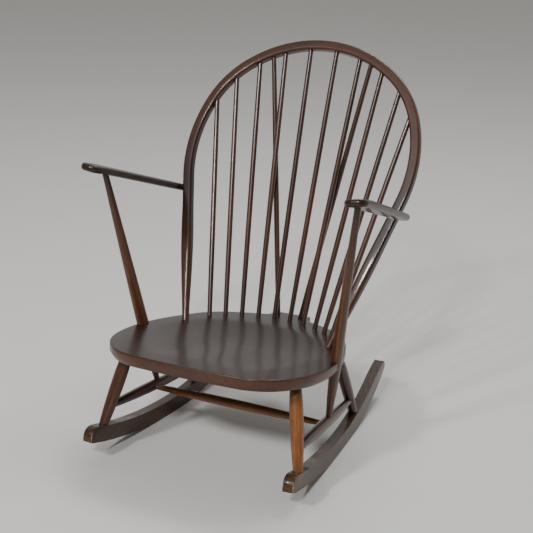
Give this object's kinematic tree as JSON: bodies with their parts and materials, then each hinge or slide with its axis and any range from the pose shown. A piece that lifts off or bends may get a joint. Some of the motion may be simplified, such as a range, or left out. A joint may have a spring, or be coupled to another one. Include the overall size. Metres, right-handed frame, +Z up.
{
  "type": "hoop back rocking chair",
  "caption": "Rocking chair with a saddled seat, leaning steam-bent hoop back, turned back sticks with two braces, flat arms and curved rockers.",
  "frame": {"origin": "centre of the chair's footprint box, on the floor", "axes": "+X towards the sitter's left, +Y towards the back, +Z up"},
  "size_m": [0.753, 0.792, 0.952],
  "materials": {
    "seat_wood": "dark stained elm under satin lacquer",
    "bent_wood": "dark stained beech, steam bent, satin lacquer",
    "turned_wood": "dark stained beech, turned, satin lacquer",
    "rocker_wood": "dark stained beech, sawn and sanded, satin lacquer",
    "plug_wood": "end plug of beech, a little worn",
    "screw_steel": "plain steel"
  },
  "bodies": {
    "root": {"arm_left": "bent_wood", "arm_plugs": "plug_wood", "arm_post_left": "bent_wood", "arm_post_right": "bent_wood", "arm_right": "bent_wood", "arm_screws": "screw_steel", "back_stick_1_left": "turned_wood", "back_stick_1_right": "turned_wood", "back_stick_2_left": "turned_wood", "back_stick_2_right": "turned_wood", "back_stick_3_left": "turned_wood", "back_stick_3_right": "turned_wood", "back_stick_4_left": "turned_wood", "back_stick_4_right": "turned_wood", "back_stick_5_left": "turned_wood", "back_stick_5_right": "turned_wood", "brace_left": "turned_wood", "brace_right": "turned_wood", "cross_stretcher": "turned_wood", "front_leg_left": "turned_wood", "front_leg_right": "turned_wood", "hoop": "bent_wood", "post_plugs": "plug_wood", "post_screws": "screw_steel", "rear_leg_left": "turned_wood", "rear_leg_right": "turned_wood", "rocker_left": "rocker_wood", "rocker_right": "rocker_wood", "seat": "seat_wood", "side_stretcher_left": "turned_wood", "side_stretcher_right": "turned_wood"}
  },
  "joints": []
}
